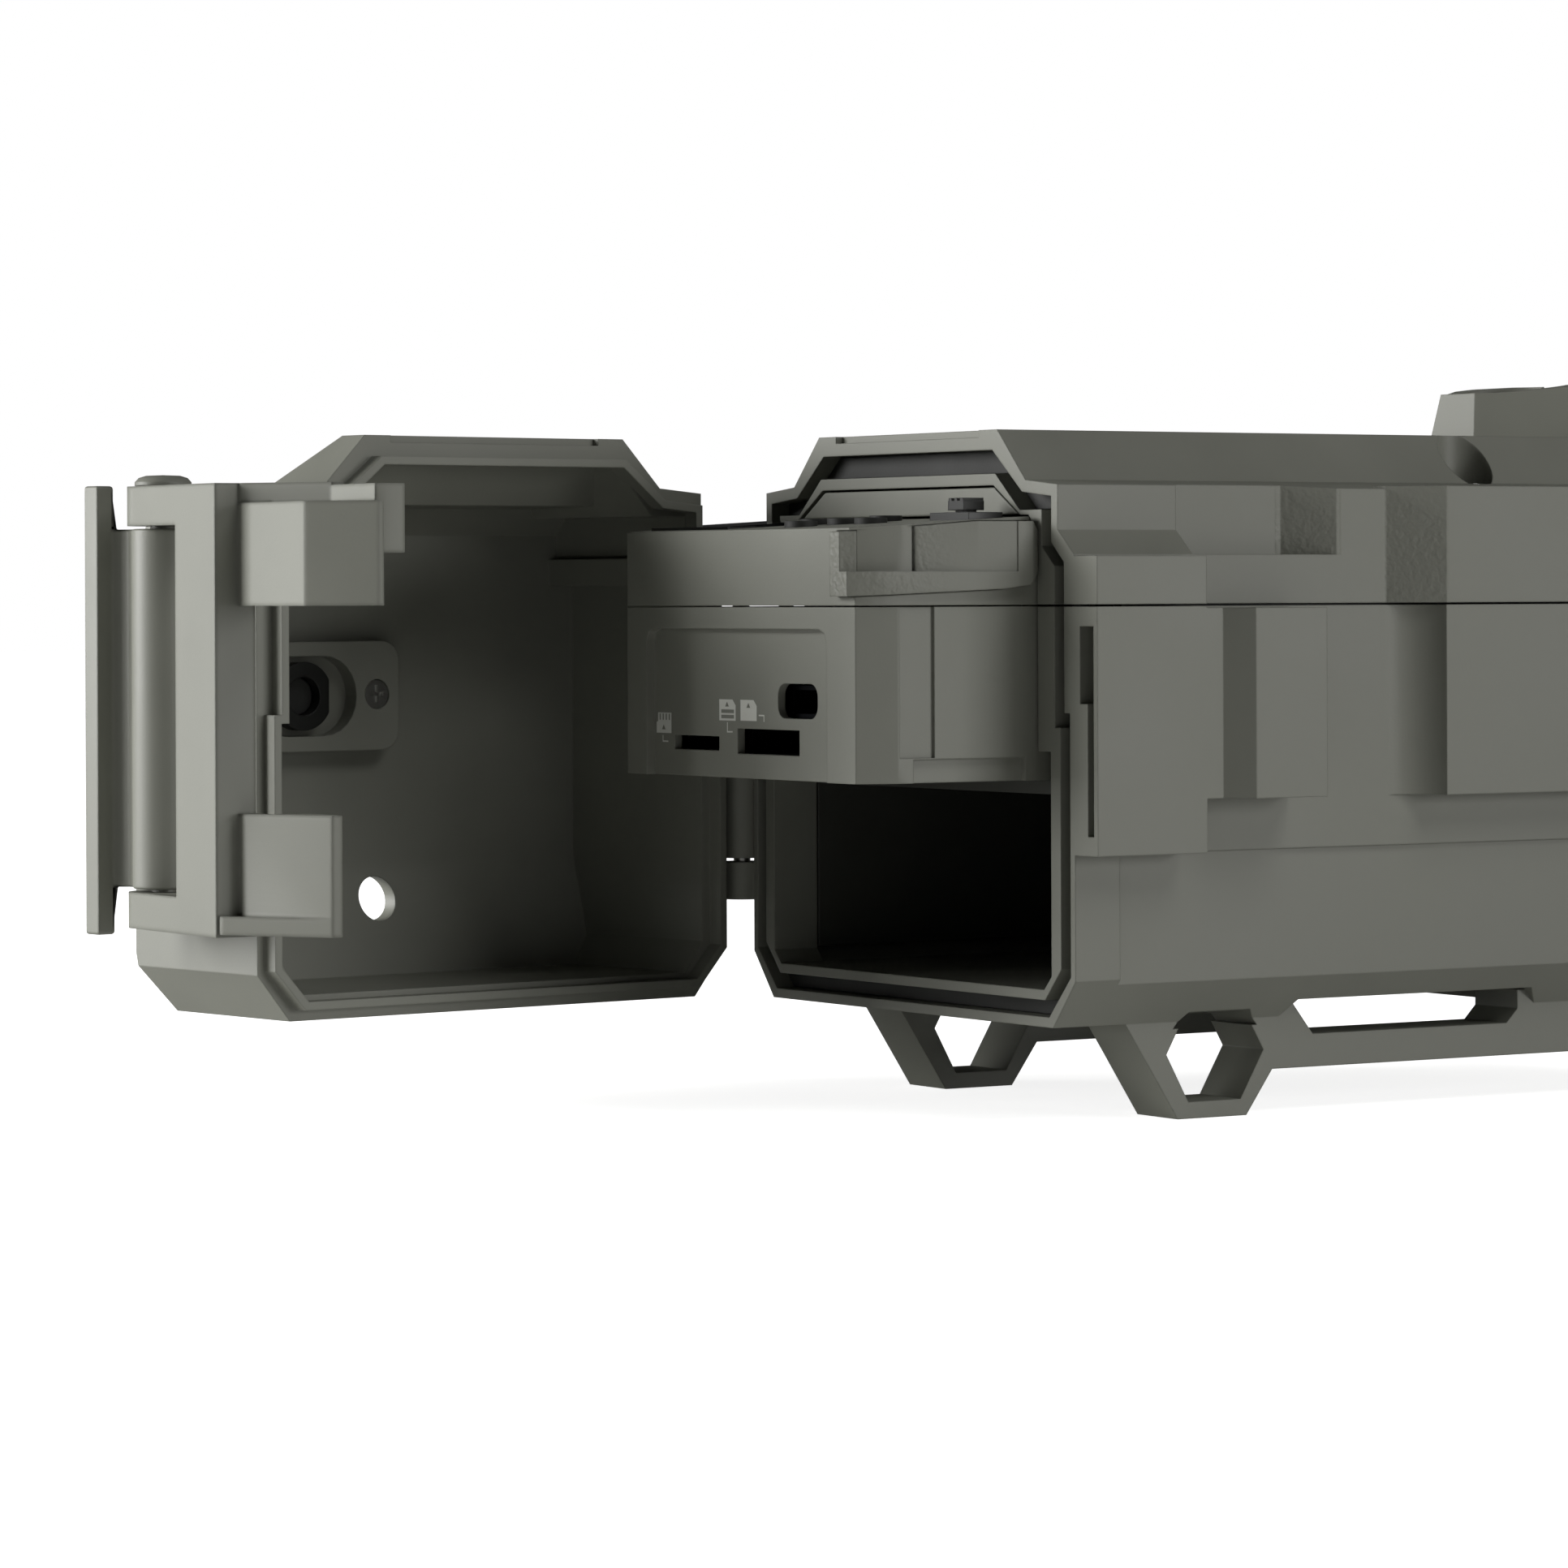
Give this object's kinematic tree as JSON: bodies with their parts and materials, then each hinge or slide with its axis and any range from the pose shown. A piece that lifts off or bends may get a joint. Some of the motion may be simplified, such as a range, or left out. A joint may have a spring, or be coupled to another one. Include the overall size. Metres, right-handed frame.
{
  "type": "trail camera",
  "caption": "Cellular trail camera lying on its back, with its bottom hatch swung open on a side hinge and a slotted core module, an empty battery bay, a draw latch and strap rails.",
  "frame": {"origin": "centre of the tripod socket's mouth in the back face", "axes": "+X from the hatch end to the top end, +Y towards the hinge side, +Z the way the lens looks, out of the back socket's opposite side"},
  "size_m": [0.2269, 0.1279, 0.1038],
  "materials": {
    "shell_plastic": "moulded",
    "dark_plastic": "moulded",
    "black_rubber": "matte",
    "black_plastic": "matte",
    "board": "solder mask",
    "steel": "plated",
    "brass": "turned",
    "lens_glass": "coated",
    "dark_window": "gloss",
    "motion_lens": "milky"
  },
  "bodies": {
    "housing": {"front_shell": "shell_plastic", "back_shell": "shell_plastic", "shell_gasket": "black_rubber", "rim_gasket": "black_rubber", "shell_screws": "steel", "tripod_insert": "brass", "lens_window": "dark_window", "lens_barrel": "black_plastic", "lens_glass": "lens_glass", "image_sensor": "black_plastic", "led_window": "dark_window", "ir_leds": "dark_window", "pir_lens": "motion_lens", "pir_sensor": "steel", "front_board": "board", "bulkhead_panel": "shell_plastic", "core_front": "shell_plastic", "core_back": "shell_plastic", "core_grip": "shell_plastic", "core_screws": "steel", "display_window": "dark_window", "display_panel": "black_plastic", "keypad_board": "board", "main_board": "board", "sd_socket": "steel", "sim_socket": "steel", "usb_socket": "steel", "modem_shield": "steel", "antenna": "brass", "battery_sleeve": "dark_plastic", "contact_board": "board", "battery_springs": "steel", "battery_pads": "steel", "hinge_pin": "steel", "mode_switch_base": "black_plastic"},
    "hatch": {"hatch_shell": "shell_plastic", "power_jack": "black_plastic", "jack_screw": "steel", "jack_cover": "black_rubber", "latch_pin": "shell_plastic"},
    "latch_bail": {"latch_bail": "shell_plastic"},
    "latch_lever": {"latch_lever": "shell_plastic"},
    "mode_switch": {"mode_switch": "black_plastic"},
    "key_up": {"key_up": "black_rubber"},
    "key_down": {"key_down": "black_rubber"},
    "key_left": {"key_left": "black_rubber"},
    "key_right": {"key_right": "black_rubber"},
    "key_ok": {"key_ok": "black_rubber"}
  },
  "joints": [
    {"name": "hatch_hinge", "type": "hinge", "parent": "housing", "child": "hatch", "pos_m": [-0.09, 0.0449, 0.0575], "axis": [0, 0, 1], "range_deg": [-30, 82.2]},
    {"name": "bail_pivot", "type": "hinge", "parent": "hatch", "child": "latch_bail", "pos_m": [-0.18427, 0.04491, 0.0575], "axis": [0, 0, 1], "range_deg": [-60, 8]},
    {"name": "lever_pivot", "type": "hinge", "parent": "hatch", "child": "latch_lever", "pos_m": [-0.18427, 0.04491, 0.0575], "axis": [0, 0, 1], "range_deg": [0, 45]},
    {"name": "mode_slide", "type": "slide", "parent": "housing", "child": "mode_switch", "axis": [0, 1, 0], "range_m": [-0.0015, 0.0015]},
    {"name": "key_up_press", "type": "slide", "parent": "housing", "child": "key_up", "axis": [0, 0, -1], "range_m": [0, 0.0005], "stiffness_N_per_m": 600},
    {"name": "key_down_press", "type": "slide", "parent": "housing", "child": "key_down", "axis": [0, 0, -1], "range_m": [0, 0.0005], "stiffness_N_per_m": 600},
    {"name": "key_left_press", "type": "slide", "parent": "housing", "child": "key_left", "axis": [0, 0, -1], "range_m": [0, 0.0005], "stiffness_N_per_m": 600},
    {"name": "key_right_press", "type": "slide", "parent": "housing", "child": "key_right", "axis": [0, 0, -1], "range_m": [0, 0.0005], "stiffness_N_per_m": 600},
    {"name": "key_ok_press", "type": "slide", "parent": "housing", "child": "key_ok", "axis": [0, 0, -1], "range_m": [0, 0.0005], "stiffness_N_per_m": 600}
  ]
}
